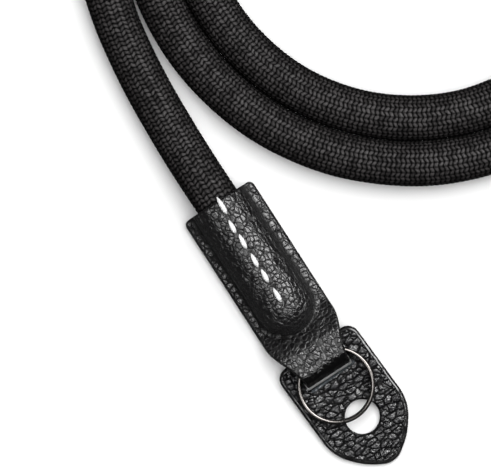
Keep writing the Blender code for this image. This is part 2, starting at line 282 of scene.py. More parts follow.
def tube_mesh(name, line, ring_radii, columns_per_turn, v_per_ring, zigzag=0.0, v_zigzag=0.0):
    """A closed tube round a line, one radius for each ring and side, with flat end caps.

    Its UV counts braid columns round the tube and braid picks along it. With a zigzag, every
    second side is moved ahead along the tube and the others back, as the braid's ridges run.
    """
    rings, sides = ring_radii.shape
    ahead = np.gradient(line, axis=0)
    ahead /= np.linalg.norm(ahead, axis=1)[:, None]
    across = np.cross(ahead, np.array([0.0, 0.0, 1.0]))
    across /= np.linalg.norm(across, axis=1)[:, None]
    upward = np.cross(across, ahead)
    turn = 2 * np.pi * np.arange(sides) / sides
    out = across[:, None, :] * np.cos(turn)[None, :, None]
    out = out + upward[:, None, :] * np.sin(turn)[None, :, None]
    shift = np.where(np.arange(sides) % 2 == 0, 1.0, -1.0)
    places = line[:, None, :] + out * ring_radii[:, :, None]
    places = places + ahead[:, None, :] * shift[None, :, None] * zigzag
    places = places.reshape(-1, 3)
    places[:, 2] = np.maximum(places[:, 2], 0.0)
    ring = np.arange(rings - 1)[:, None] * sides
    side = np.arange(sides)[None, :]
    near = ring + side
    beside = ring + (side + 1) % sides
    faces = np.stack([near, near + sides, beside + sides, beside], axis=-1).reshape(-1, 4).tolist()
    faces.append(list(range(sides)))
    faces.append([(rings - 1) * sides + index for index in reversed(range(sides))])
    mesh = bpy.data.meshes.new(name)
    mesh.from_pydata(places.tolist(), [], faces)
    layer = mesh.uv_layers.new(name="braid")
    travelled = np.arange(rings - 1)[:, None] * v_per_ring
    u = np.broadcast_to(side * columns_per_turn / sides, (rings - 1, sides))
    u_beside = u + columns_per_turn / sides
    v = travelled + shift[None, :] * v_zigzag
    v_beside = travelled + np.roll(shift, -1)[None, :] * v_zigzag
    far, far_beside = v + v_per_ring, v_beside + v_per_ring
    corners = np.stack([u, v, u, far, u_beside, far_beside, u_beside, v_beside], axis=-1).reshape(-1)
    caps = np.zeros(4 * sides)
    layer.data.foreach_set("uv", np.concatenate([corners, caps]).astype(np.float32))
    smooth_faces(mesh)
    mesh.validate()
    mesh.update()
    return mesh


def plug(tree, value, socket):
    """Puts a link or a plain value into a socket."""
    if isinstance(value, bpy.types.NodeSocket):
        tree.links.new(value, socket)
    else:
        socket.default_value = value


def math_step(tree, operation, *values):
    step = tree.nodes.new("ShaderNodeMath")
    step.operation = operation
    for socket, value in zip(step.inputs, values):
        plug(tree, value, socket)
    return step.outputs[0]


def vector_step(tree, operation, first, second):
    step = tree.nodes.new("ShaderNodeVectorMath")
    step.operation = operation
    plug(tree, first, step.inputs[0])
    plug(tree, second, step.inputs["Scale"] if operation == "SCALE" else step.inputs[1])
    return step.outputs[0]


def joined(tree, *values):
    """A vector of the given links or numbers."""
    join = tree.nodes.new("ShaderNodeCombineXYZ")
    for socket, value in zip(join.inputs, values):
        plug(tree, value, socket)
    return join.outputs[0]


def parted(tree, vector):
    part = tree.nodes.new("ShaderNodeSeparateXYZ")
    tree.links.new(vector, part.inputs[0])
    return part.outputs


def add_noise(tree, place, scale, detail=2.0):
    noise = tree.nodes.new("ShaderNodeTexNoise")
    set_values(noise, {"Scale": scale, "Detail": detail})
    tree.links.new(place, noise.inputs["Vector"])
    return noise.outputs


def object_place(tree):
    return tree.nodes.new("ShaderNodeTexCoord").outputs["Object"]


def new_group(name, inputs, outputs):
    """A node group: a name and kind for each input, and a name for each number that it gives."""
    tree = bpy.data.node_groups.new(name, "ShaderNodeTree")
    for title, kind in inputs:
        tree.interface.new_socket(title, in_out="INPUT", socket_type="NodeSocket" + kind)
    for title in outputs:
        tree.interface.new_socket(title, in_out="OUTPUT", socket_type="NodeSocketFloat")
    entry = tree.nodes.new("NodeGroupInput")
    result = tree.nodes.new("NodeGroupOutput")
    return tree, entry.outputs, result.inputs


def place_group(tree, group, values):
    """One use of a group in a material, with its values or links by socket name."""
    use = tree.nodes.new("ShaderNodeGroup")
    use.node_tree = group
    for title, value in values.items():
        plug(tree, value, use.inputs[title])
    return use.outputs


def blend_colours(tree, share, first, second):
    mix = tree.nodes.new("ShaderNodeMix")
    mix.data_type = "RGBA"
    tree.links.new(share, mix.inputs["Factor"])
    plug(tree, first, mix.inputs[6])
    plug(tree, second, mix.inputs[7])
    return mix.outputs[2]


def add_bump(tree, height, depth, before=None):
    bump = tree.nodes.new("ShaderNodeBump")
    set_values(bump, {"Distance": depth, "Strength": 1.0})
    tree.links.new(height, bump.inputs["Height"])
    if before is not None:
        tree.links.new(before, bump.inputs["Normal"])
    return bump.outputs["Normal"]


def braid_group():
    """Rounded floats, end to end in wavy ridges round the rope, with painted shade in the dark lines between
    them.
    """
    tree, given, result = new_group(
        "braided_floats", [("Braid Place", "Vector"), ("Lean", "Float")], ["Height", "Float", "Shade"],
    )
    place = parted(tree, given["Braid Place"])
    wobble = add_noise(tree, given["Braid Place"], WOBBLE_SCALE)
    drift = math_step(tree, "MULTIPLY_ADD", wobble["Fac"], WOBBLE, -WOBBLE / 2)
    column = math_step(tree, "FLOOR", place["X"])
    across = math_step(tree, "SUBTRACT", place["X"], column)
    wide = math_step(tree, "MULTIPLY_ADD", across, 2.0, -1.0)
    wave = math_step(tree, "COSINE", math_step(tree, "MULTIPLY", place["X"], math.pi))
    leaning = math_step(tree, "MULTIPLY", math_step(tree, "MULTIPLY", wave, given["Lean"]), -0.5)
    along = math_step(tree, "ADD", math_step(tree, "ADD", place["Y"], leaning), drift)
    pick = math_step(tree, "FLOOR", along)
    inside = math_step(tree, "MULTIPLY_ADD", math_step(tree, "SUBTRACT", along, pick), 2.0, -1.0)
    wide_square = math_step(tree, "MULTIPLY", wide, wide)
    inside_square = math_step(tree, "MULTIPLY", inside, inside)
    inside_cube = math_step(tree, "POWER", math_step(tree, "ABSOLUTE", inside), 3.0)
    spread = math_step(tree, "MULTIPLY_ADD", wide_square, FLOAT_NARROWING, inside_cube)
    left_over = math_step(tree, "MAXIMUM", math_step(tree, "SUBTRACT", 1.0, spread), 0.0)
    fall = math_step(tree, "MULTIPLY_ADD", wide_square, FLOAT_ROUNDING, inside_square)
    above = math_step(tree, "MAXIMUM", math_step(tree, "SUBTRACT", 1.0, fall), 0.0)
    height = math_step(tree, "SQRT", above)
    chance = tree.nodes.new("ShaderNodeTexWhiteNoise")
    chance.noise_dimensions = "2D"
    tree.links.new(joined(tree, column, pick), chance.inputs["Vector"])
    yarn_place = joined(tree, math_step(tree, "MULTIPLY", place["X"], YARN_STRETCH), along)
    yarn = add_noise(tree, yarn_place, YARN_SCALE)["Fac"]
    uneven = math_step(tree, "MULTIPLY_ADD", chance.outputs["Value"], *FLOAT_CHANCE)
    streaks = math_step(tree, "MULTIPLY_ADD", yarn, *YARN_STREAKS)
    relief = math_step(tree, "MULTIPLY", yarn, height)
    tree.links.new(math_step(tree, "MULTIPLY_ADD", relief, YARN_RELIEF, height), result["Height"])
    tree.links.new(left_over, result["Float"])
    tree.links.new(math_step(tree, "MULTIPLY", uneven, streaks), result["Shade"])
    return tree


rope_line = rope_points()
plain_length = even_line(rope_line, 1)[1]
pick_count = int(round(plain_length / BRAID_PITCH))
rope_path, rope_length = even_line(rope_line, pick_count * RINGS_PER_PITCH)
ring_number = np.arange(len(rope_path))
column_number = np.arange(BRAID_COLUMNS)
rope_swell = SWELL * np.sin(rope_path.sum(axis=1) * SWELL_RATE)
rope_swell += LONG_SWELL * np.sin(ring_number / LONG_SWELL_RINGS)
pressed = SIDE_PRESS * np.cos(2 * np.pi * column_number / BRAID_COLUMNS) ** SIDE_PRESS_POWER
dips = BRAID_DIP * (ring_number % RINGS_PER_PITCH == 0)
rope_radii = (BRAID_CROWN + rope_swell)[:, None] - dips[:, None] * (1 - pressed)[None, :]
ripple = np.sin(column_number[None, :] * RIPPLE_PER_COLUMN + ring_number[:, None] / RIPPLE_RINGS)
rope_radii *= 1 + RIPPLE * ripple
rope = add_object("rope_braid", tube_mesh(
    "rope_braid", rope_path, rope_radii, BRAID_COLUMNS, 1 / RINGS_PER_PITCH,
    FLOAT_LEAN * BRAID_PITCH / 2, FLOAT_LEAN / 2,
))

rope_nylon, rope_tree, rope_shader = new_material("black_nylon_braid")
braid_place = rope_tree.nodes.new("ShaderNodeUVMap")
braid_place.uv_map = "braid"
floats = place_group(rope_tree, braid_group(), {"Braid Place": braid_place.outputs["UV"], "Lean": FLOAT_LEAN})
patches = add_noise(rope_tree, object_place(rope_tree), PATCH_SCALE, 3.0)
# Painted shade: the braid's colour and coat fade where its surface faces less upward, so the sides read near
# black.
rope_facing = rope_tree.nodes.new("ShaderNodeNewGeometry")
painted_side_shade_and_sheen = rope_tree.nodes.new("ShaderNodeMapRange")
painted_side_shade_and_sheen.interpolation_type = "SMOOTHSTEP"
set_values(painted_side_shade_and_sheen, {"From Min": SIDE_SHADE_FROM, "From Max": SIDE_SHADE_FULL, "To Min": SIDE_SHADE_AND_SHEEN})
rope_tree.links.new(parted(rope_tree, rope_facing.outputs["Normal"])["Z"], painted_side_shade_and_sheen.inputs["Value"])
float_tone_and_painted_shade = math_step(rope_tree, "POWER", floats["Float"], FLOAT_EDGE_POWER)
float_tone_and_painted_shade = math_step(rope_tree, "MULTIPLY", floats["Shade"], float_tone_and_painted_shade)
patchy = math_step(rope_tree, "MULTIPLY_ADD", patches["Fac"], *PATCH_STRENGTH)
float_tone_and_painted_shade = math_step(rope_tree, "MULTIPLY", float_tone_and_painted_shade, patchy)
float_tone_and_painted_shade = math_step(rope_tree, "MULTIPLY", float_tone_and_painted_shade, painted_side_shade_and_sheen.outputs["Result"])
# Painted shade: the gaps between floats and the floats' edges take the near-black gap colour.
rope_colour = blend_colours(rope_tree, float_tone_and_painted_shade, GAP_PAINTED_SHADE, FLOAT_COLOUR)
rope_tree.links.new(rope_colour, rope_shader.inputs["Base Color"])
rope_tree.links.new(math_step(rope_tree, "MULTIPLY", float_tone_and_painted_shade, SHEEN), rope_shader.inputs["Coat Weight"])
rope_tree.links.new(add_bump(rope_tree, floats["Height"], BRAID_DEPTH), rope_shader.inputs["Normal"])
set_values(rope_shader, {"Coat Roughness": 0.66, "Roughness": 0.85, "Specular IOR Level": 0.06})
rope.data.materials.append(rope_nylon)

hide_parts("rope")
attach(rope, "root")


# Leather end tabs
# Each tab is one strip of black pebbled cowhide, folded round the split ring and moulded wet
# over the rope's end; its two layers are glued along the flanges and the cut edges painted.
STRAP_ENDS = (("left", 1), ("right", -1))
TAB_WIDTH = 0.0183
TAB_LENGTH = 0.047
BULGE_LENGTH = 0.0349
BULGE_RADIUS = 0.0067
BULGE_TOP = 0.0134
TAB_NECK_WIDTH = 0.0115
TAB_NECK_CURVE = 1.5
LEATHER_THICKNESS = 0.0014
FLANGE_TOP = 0.0028
FLANGE_REACH = (-0.0003, 0.0012)
FLANGE_FOOT = -0.0001
LEATHER_VOXEL = 0.00026
LEATHER_SMOOTHING = 5
WELD_REACH = 0.000005
RELAX_SHARE = 0.5
STITCHES = [
    (1.4, 0.36, 4.6, -2.0), (6.7, -0.27, 3.5, -5.0), (10.8, -0.1, 3.9, -6.0),
    (15.8, -0.16, 3.7, -5.0), (20.0, -0.1, 3.6, -4.0), (25.2, -0.1, 3.8, -3.0),
]
EDGE_FALL = 0.00028
EDGE_ROUND = 0.0007
EDGE_FROM_MOUTH = 0.0008
DRAPE_RISE = 0.0007
DRAPE_WIDTH = 0.0013
DIMPLE_DEPTH = 0.00045
DIMPLE_RADIUS = 0.0009
DIMPLE_ABOVE = 0.009
RIM_PAINT = (0.00012, 0.0005)
RIM_TOP = 0.0036
RIM_ON_NECK = 0.037
MOUTH_PAINT = (0.00015, 0.00045)
GLUE_WIDTH = (0.00006, 0.0002)
GLUE_DEPTH = 0.0004
VALLEY_PLACE = 0.0002
VALLEY_WIDTH = (0.0001, 0.0009)
VALLEY_HEIGHTS = (0.0012, 0.0055)
VALLEY_PAST_BULGE = 0.001
FOLD_SHADE_AND_POLISH_RANGE = (0.0030, 0.0020)
TAB_GRAIN = {
    "Cell Size": 0.00115, "Stretch": 1.15, "Stretch Angle": 0.6, "Crease Width": 0.17, "Unevenness": 0.35,
}
TAB_GRAIN_DEPTH = 0.00016
TAB_SWELL_SCALE = 330.0
HIDE_SWELL_DEPTH = 0.00075
TAB_ROUGHNESS = (0.13, 0.16)
CREASE_ROUGHNESS = 0.34
FOLD_POLISH = 0.55
TAB_GLOSS = 0.76
WAVER_SCALE = 0.8
GROOVE_REACH = 0.22
GROOVE_SHARE = 0.5
CROWN_SHARE = 0.8
FINE_CELLS = 2.1
FINE_REACH = 0.25
FINE_RELIEF = 0.12
LEATHER_LIGHT = (0.0066, 0.0062, 0.0067, 1.0)
LEATHER_SHADE_AND_GLUE = (0.0014, 0.0013, 0.0014, 1.0)
EDGE_PAINT = (0.005, 0.0047, 0.005, 1.0)


def end_axes(hand):
    """A strap end's own frame: the mouth's middle, the way it points, and its left-hand side."""
    angle = TAB_HEADING if hand > 0 else -math.pi - TAB_HEADING
    ahead = np.array([math.cos(angle), math.sin(angle), 0.0])
    across = np.array([-math.sin(angle), math.cos(angle), 0.0])
    return np.array([-hand * TAB_MOUTH[0], TAB_MOUTH[1], 0.0]), ahead, across


def into_end(places, hand):
    """World places as (along the tab, across it towards the photo's right, height)."""
    origin, ahead, across = end_axes(hand)
    shifted = places - origin
    return np.stack([shifted @ ahead, shifted @ across * hand, shifted[:, 2]], axis=1)


def out_of_end(places, hand):
    origin, ahead, across = end_axes(hand)
    flat = origin + places[:, :1] * ahead + places[:, 1:2] * across * hand
    return flat + places[:, 2:] * np.array([0.0, 0.0, 1.0])


def soft_step(values, start, end):
    share = np.clip((values - start) / (end - start), 0.0, 1.0)
    return share * share * (3 - 2 * share)


def fine_mesh(piece, voxel, smoothing):
    """Meshes a piece afresh in small even faces and wears its edges round."""
    coarse = piece.data
    weld = piece.modifiers.new("weld", "WELD")
    weld.merge_threshold = WELD_REACH
    remesh = piece.modifiers.new("remesh", "REMESH")
    remesh.mode = "VOXEL"
    remesh.voxel_size = voxel
    relax = piece.modifiers.new("relax", "SMOOTH")
    relax.factor = RELAX_SHARE
    relax.iterations = smoothing
    graph = bpy.context.evaluated_depsgraph_get()
    fine = bpy.data.meshes.new_from_object(piece.evaluated_get(graph))
    piece.modifiers.clear()
    piece.data = fine
    bpy.data.meshes.remove(coarse)
    fine.name = piece.name
    fine.materials.clear()
    smooth_faces(fine)


def mesh_places(mesh):
    places = np.zeros(len(mesh.vertices) * 3)
    mesh.vertices.foreach_get("co", places)
    return places.reshape(-1, 3)


def store_mask(mesh, name, values):
    layer = mesh.attributes.new(name, "FLOAT", "POINT")
    layer.data.foreach_set("value", values.astype(np.float32))


def read_mask(tree, name):
    reader = tree.nodes.new("ShaderNodeAttribute")
    reader.attribute_name = name
    return reader.outputs["Fac"]


def cell_pattern(tree, place, feature, scale):
    cells = tree.nodes.new("ShaderNodeTexVoronoi")
    cells.feature = feature
    set_values(cells, {"Scale": scale})
    tree.links.new(place, cells.inputs["Vector"])
    return cells.outputs


def rounded_edge(tree, distance, reach):
    """Rises from 0 at a cell's edge to 1 at the given reach inside it, and stays there."""
    share = math_step(tree, "MINIMUM", math_step(tree, "DIVIDE", distance, reach), 1.0)
    below = math_step(tree, "SUBTRACT", 1.0, share)
    return math_step(tree, "SUBTRACT", 1.0, math_step(tree, "MULTIPLY", below, below))


def pebble_group():
    """Pebbled hide: rounded cells parted by fine creases, with a second finer grain in them."""
    sizes = [(title, "Float") for title in TAB_GRAIN]
    tree, given, result = new_group(
        "pebbled_hide", [("Place", "Vector"), *sizes], ["Height", "Crease", "Tone"],
    )
    turned = tree.nodes.new("ShaderNodeVectorRotate")
    turned.rotation_type = "Z_AXIS"
    tree.links.new(given["Place"], turned.inputs["Vector"])
    tree.links.new(given["Stretch Angle"], turned.inputs["Angle"])
    squeeze = joined(tree, math_step(tree, "DIVIDE", 1.0, given["Stretch"]), 1.0, 1.0)
    stretched = vector_step(tree, "MULTIPLY", turned.outputs[0], squeeze)
    sized = vector_step(tree, "SCALE", stretched, math_step(tree, "DIVIDE", 1.0, given["Cell Size"]))
    waver = add_noise(tree, sized, WAVER_SCALE)["Color"]
    centred = vector_step(tree, "SUBTRACT", waver, (0.5, 0.5, 0.5))
    pushed = vector_step(tree, "SCALE", centred, math_step(tree, "MULTIPLY", given["Unevenness"], 2.0))
    place = vector_step(tree, "ADD", sized, pushed)
    edges = cell_pattern(tree, place, "DISTANCE_TO_EDGE", 1.0)["Distance"]
    fine_edges = cell_pattern(tree, place, "DISTANCE_TO_EDGE", FINE_CELLS)["Distance"]
    middles = cell_pattern(tree, place, "F1", 1.0)
    groove = rounded_edge(tree, edges, GROOVE_REACH)
    from_middle = math_step(tree, "MULTIPLY", middles["Distance"], middles["Distance"])
    crown = math_step(tree, "SUBTRACT", 1.0, math_step(tree, "MINIMUM", from_middle, 1.0))
    crown = math_step(tree, "MULTIPLY", crown, CROWN_SHARE)
    dome = math_step(tree, "MULTIPLY_ADD", groove, GROOVE_SHARE, crown)
    fine_dome = math_step(tree, "MULTIPLY", rounded_edge(tree, fine_edges, FINE_REACH), dome)
    edge = math_step(tree, "DIVIDE", edges, given["Crease Width"])
    crease = math_step(tree, "SUBTRACT", 1.0, math_step(tree, "MINIMUM", edge, 1.0))
    tone = tree.nodes.new("ShaderNodeSeparateColor")
    tree.links.new(middles["Color"], tone.inputs[0])
    tree.links.new(math_step(tree, "MULTIPLY_ADD", fine_dome, FINE_RELIEF, dome), result["Height"])
    tree.links.new(crease, result["Crease"])
    tree.links.new(tone.outputs[0], result["Tone"])
    return tree


def hide_relief(tree, place, cells, flat_share, grain_depth, swell_scale):
    """The grain's bump on top of the hide's slow unevenness, a few millimetres wide."""
    swell = add_bump(tree, add_noise(tree, place, swell_scale)["Fac"], HIDE_SWELL_DEPTH)
    grain = math_step(tree, "MULTIPLY", cells["Height"], math_step(tree, "SUBTRACT", 1.0, flat_share))
    return add_bump(tree, grain, grain_depth, before=swell)


def tab_half_width(along):
    share = np.clip((along - BULGE_LENGTH) / (TAB_LENGTH - BULGE_LENGTH), 0.0, 1.0)
    neck = TAB_NECK_WIDTH / 2
    return neck + (TAB_WIDTH / 2 - neck) * (1 - np.sin(np.pi / 2 * share) ** TAB_NECK_CURVE)


def finish_tab(piece, hand):
    """Sinks the stitch holes and marks the painted edges, the glue line, and the valleys, holes and fold that
    get painted shade.
    """
    mesh = piece.data
    places = into_end(mesh_places(mesh), hand)
    along, across, height = places[:, 0], places[:, 1], places[:, 2]
    sunk = np.zeros(len(places))
    for middle, off, length, lean in STITCHES:
        for end in (-1, 1):
            hole_along = (middle + end * length / 2 * math.cos(math.radians(lean))) / 1000
            hole_across = (off + end * length / 2 * math.sin(math.radians(lean))) / 1000
            away = np.hypot(along - hole_along, across - hole_across)
            sunk = np.maximum(sunk, np.exp(-(away / DIMPLE_RADIUS) ** 2) * (height > DIMPLE_ABOVE))
    outline = tab_half_width(along) - np.abs(across)
    past_round = np.maximum(along - (BULGE_LENGTH - BULGE_RADIUS), 0.0)
    foot = np.hypot(np.abs(across), past_round) - BULGE_RADIUS
    upper = soft_step(height, LEATHER_THICKNESS, FLANGE_TOP + FLANGE_REACH[0])
    flange = upper * (height < FLANGE_TOP + FLANGE_REACH[1]) * (foot > FLANGE_FOOT)
    worn = EDGE_FALL * np.clip(1 - outline / EDGE_ROUND, 0.0, 1.0) ** 2 * upper * (along > EDGE_FROM_MOUTH)
    drape = DRAPE_RISE * np.clip(1 - np.maximum(foot, 0.0) / DRAPE_WIDTH, 0.0, 1.0) ** 2 * flange
    places[:, 2] = height - sunk * DIMPLE_DEPTH - worn + drape
    mesh.vertices.foreach_set("co", out_of_end(places, hand).reshape(-1))
    mesh.update()
    rim = (1 - soft_step(outline, *RIM_PAINT)) * ((height < RIM_TOP) | (along > RIM_ON_NECK))
    store_mask(mesh, "cut_edge", np.maximum(rim, 1 - soft_step(along, *MOUTH_PAINT)))
    glue = 1 - soft_step(np.abs(height - LEATHER_THICKNESS), *GLUE_WIDTH)
    store_mask(mesh, "glue_line", glue * (outline < GLUE_DEPTH))
    valley_shade = 1 - soft_step(np.abs(foot - VALLEY_PLACE), *VALLEY_WIDTH)
    valley_shade = valley_shade * (height < VALLEY_HEIGHTS[1]) * (height > VALLEY_HEIGHTS[0])
    store_mask(mesh, "valley_shade", valley_shade * (along < BULGE_LENGTH + VALLEY_PAST_BULGE))
    store_mask(mesh, "stitch_hole_shade", sunk)
    fold_start, fold_full = FOLD_SHADE_AND_POLISH_RANGE
    store_mask(mesh, "fold_shade_and_polish", soft_step(along, TAB_LENGTH - fold_start, TAB_LENGTH - fold_full))


pebbles = pebble_group()
tab_hide, tab_tree, tab_shader = new_material("black_pebbled_hide")
tab_place = object_place(tab_tree)
tab_cells = place_group(tab_tree, pebbles, {"Place": tab_place, **TAB_GRAIN})
edge_mask = read_mask(tab_tree, "cut_edge")
fold_shade_and_polish_mask = read_mask(tab_tree, "fold_shade_and_polish")
# Painted shade: the grain's creases, the valleys at the bulge's foot, the stitch holes and the fold take the
# dark colour; the glue line is a real dark joint.
crease_valley_hole_shade = math_step(tab_tree, "MAXIMUM", tab_cells["Crease"], read_mask(tab_tree, "valley_shade"))
crease_valley_hole_shade = math_step(tab_tree, "MAXIMUM", crease_valley_hole_shade, read_mask(tab_tree, "stitch_hole_shade"))
hide_colour = blend_colours(tab_tree, crease_valley_hole_shade, LEATHER_LIGHT, LEATHER_SHADE_AND_GLUE)
# Painted shade on the fold, where the leather curls away over the ring; the fold is also made smoother.
hide_colour = blend_colours(tab_tree, fold_shade_and_polish_mask, hide_colour, LEATHER_SHADE_AND_GLUE)
hide_colour = blend_colours(tab_tree, edge_mask, hide_colour, EDGE_PAINT)
hide_colour = blend_colours(tab_tree, read_mask(tab_tree, "glue_line"), hide_colour, LEATHER_SHADE_AND_GLUE)
tab_tree.links.new(hide_colour, tab_shader.inputs["Base Color"])
hide_rough = math_step(tab_tree, "MULTIPLY_ADD", tab_cells["Tone"], *TAB_ROUGHNESS)
hide_rough = math_step(tab_tree, "MULTIPLY_ADD", crease_valley_hole_shade, CREASE_ROUGHNESS, hide_rough)
fold_rough = math_step(tab_tree, "MULTIPLY_ADD", fold_shade_and_polish_mask, -FOLD_POLISH, 1.0)
hide_rough = math_step(tab_tree, "MULTIPLY", hide_rough, fold_rough)
tab_tree.links.new(hide_rough, tab_shader.inputs["Roughness"])
set_values(tab_shader, {"Specular IOR Level": TAB_GLOSS})
flat_share = math_step(tab_tree, "MAXIMUM", edge_mask, fold_shade_and_polish_mask)
tab_relief = hide_relief(tab_tree, tab_place, tab_cells, flat_share, TAB_GRAIN_DEPTH, TAB_SWELL_SCALE)
tab_tree.links.new(tab_relief, tab_shader.inputs["Normal"])

for side, hand in STRAP_ENDS:
    tab = add_object(side + "_tab_leather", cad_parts[side + "_tab"].data.copy())
    fine_mesh(tab, LEATHER_VOXEL, LEATHER_SMOOTHING)
    finish_tab(tab, hand)
    tab.data.materials.append(tab_hide)
    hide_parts(side + "_tab")
    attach(tab, "root")


# Stitches
# Six long stitches of white waxed thread run along the crest of each tab, through the leather
# and the rope's end; each swells in its middle and dives into its own hole at both ends.
THREAD_HALF_WIDTH = 0.00056
THREAD_HALF_HEIGHT = 0.00042
THREAD_FULL_AT = 0.16
THREAD_ROUNDNESS = (2.2, 0.75)
THREAD_RISE = 0.00012
THREAD_DIVE = 0.0007
THREAD_DIVE_POWER = 4
THREAD_PLIES = 3
THREAD_PLY_DEPTH = 0.07
THREAD_TWIST = 5.2
THREAD_FIBRE_SCALE = 2600.0
THREAD_FIBRE_DEPTH = 0.00006
THREAD_SHADING = (1.4, -0.45)
THREAD_ROUGHNESS = 0.42
THREAD_WHITE = (0.80, 0.80, 0.79, 1.0)
THREAD_GREY = (0.50, 0.51, 0.54, 1.0)
STITCH_STEPS = 28
STITCH_SIDES = 16


def stitch_mesh(name, hand):
    verts = []
    faces = []
    flank_power, end_power = THREAD_ROUNDNESS
    for middle, off, length, lean in STITCHES:
        base = len(verts)
        half = length / 2000
        angle = math.radians(lean)
        for step in range(STITCH_STEPS + 1):
            share = -1 + 2 * step / STITCH_STEPS
            fullness = max(1 - abs(share) ** flank_power, 0.0) ** end_power
            reach = half * (share + THREAD_FULL_AT * (1 - share * share))
            level = BULGE_TOP + THREAD_RISE - THREAD_DIVE * abs(share) ** THREAD_DIVE_POWER
            for side_index in range(STITCH_SIDES):
                turn = 2 * math.pi * side_index / STITCH_SIDES
                ply = 1 + THREAD_PLY_DEPTH * math.cos(THREAD_PLIES * (turn - share * THREAD_TWIST))
                sideways = math.cos(turn) * THREAD_HALF_WIDTH * fullness * ply
                rise = math.sin(turn) * THREAD_HALF_HEIGHT * fullness * ply
                along = middle / 1000 + reach * math.cos(angle) - sideways * math.sin(angle)
                across = off / 1000 + reach * math.sin(angle) + sideways * math.cos(angle)
                verts.append((along, across, level + rise))
        for step in range(STITCH_STEPS):
            for side_index in range(STITCH_SIDES):
                after = (side_index + 1) % STITCH_SIDES
                low = base + step * STITCH_SIDES
                high = low + STITCH_SIDES
                faces.append((low + side_index, low + after, high + after, high + side_index))
    mesh = bpy.data.meshes.new(name)
    mesh.from_pydata(out_of_end(np.array(verts), hand).tolist(), [], faces)
    smooth_faces(mesh)
    if hand < 0:
        mesh.flip_normals()
    mesh.update()
    return mesh


thread_wax, thread_tree, thread_shader = new_material("white_waxed_thread")
fibres = add_noise(thread_tree, object_place(thread_tree), THREAD_FIBRE_SCALE, 3.0)["Fac"]
fibre_share = math_step(thread_tree, "MULTIPLY_ADD", fibres, *THREAD_SHADING)
fibre_share = math_step(thread_tree, "MAXIMUM", fibre_share, 0.0)
thread_colour = blend_colours(thread_tree, fibre_share, THREAD_WHITE, THREAD_GREY)
thread_tree.links.new(thread_colour, thread_shader.inputs["Base Color"])
set_values(thread_shader, {"Roughness": THREAD_ROUGHNESS})
thread_tree.links.new(add_bump(thread_tree, fibres, THREAD_FIBRE_DEPTH), thread_shader.inputs["Normal"])

for side, hand in STRAP_ENDS:
    thread = add_object(side + "_stitches", stitch_mesh(side + "_stitches", hand))
    thread.data.materials.append(thread_wax)
    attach(thread, "root")


# Leather shields
# A plate of thicker, more coarsely pebbled hide lies under each ring and keeps it off the
# camera; the tab's neck passes up through its slit. Its outer edge is pressed round and painted,
# the slit and the hole are cut sharp, and a pale bluish line is coloured along the slit's far edge.
SHIELD_VOXEL = 0.00022
SHIELD_SMOOTHING = 3
SHIELD_LENGTH = 0.0315
SHIELD_WIDTH = 0.0214
SHIELD_THICKNESS = 0.0016
SHIELD_TIP = 0.07132
SHIELD_LENGTH_PAST_SLIT = 0.02365
SHIELD_SHIFT = 0.0005
SHIELD_TURN = math.radians(3.3)
SHIELD_TILT = math.asin(1.7 / 26.4)
SHIELD_BACK_CORNER = 0.0028
SHIELD_TIP_RADIUS = 0.0048
SHIELD_HOLE_TO_TIP = 0.0123
SHIELD_HOLE_RADIUS = 0.004
SHIELD_SLIT = (0.04495, 0.04747, 0.0060)
SHIELD_SIDE = [
    (0.00087, 0.00275), (0.00186, 0.00425), (0.0030, 0.0057), (0.00425, 0.00693), (0.00585, 0.00828),
    (0.00745, 0.00935), (0.00905, 0.01008), (0.01065, 0.0105), (0.01213, 0.0107),
]
TIP_ARC = (180, 215, 8)
BACK_ARC = (90, 0, 10)
HOLE_ARC = (0, 360, 72)
SIDE_STEPS = 6
SHIELD_EDGE_ROUND = 0.00075
SHIELD_EDGE_FALL = 0.00042
SHIELD_PAINT_WIDTH = 0.00092
PAINT_FADE = (0.8, 1.0)
SHIELD_UPPER = 0.0003
WALL_UPRIGHT = 0.5
LIP_UPRIGHT = 0.3
OPENING_REACH = 0.0012
OPENING_PAINT_WIDTH = 0.00034
OPENING_EDGE_FALL = 0.00012
SLIT_SIDE_REACH = 0.0017
SLIT_END_SHARP = 0.0008
SLIT_LIP_WIDTH = 0.00042
SLIT_LIP_SOLID = 0.6
SHIELD_GRAIN = {
    "Cell Size": 0.00138, "Stretch": 1.5, "Stretch Angle": -0.5, "Crease Width": 0.20, "Unevenness": 0.36,
}
SHIELD_GRAIN_DEPTH = 0.00045
SHIELD_SWELL_SCALE = 260.0
SHIELD_ROUGHNESS = (0.14, 0.22)
SHIELD_GLOSS = 0.9
SLIT_LINE_PALE = (0.078, 0.088, 0.098, 1.0)
SHIELD_LIGHT = (0.0095, 0.0093, 0.0106, 1.0)
SHIELD_CREASE_SHADE = (0.0020, 0.0019, 0.0020, 1.0)


def arc_points(middle, radius, start, end, steps):
    angles = np.radians(np.linspace(start, end, steps + 1))
    return np.stack([middle[0] + radius * np.cos(angles), middle[1] + radius * np.sin(angles)], axis=1)


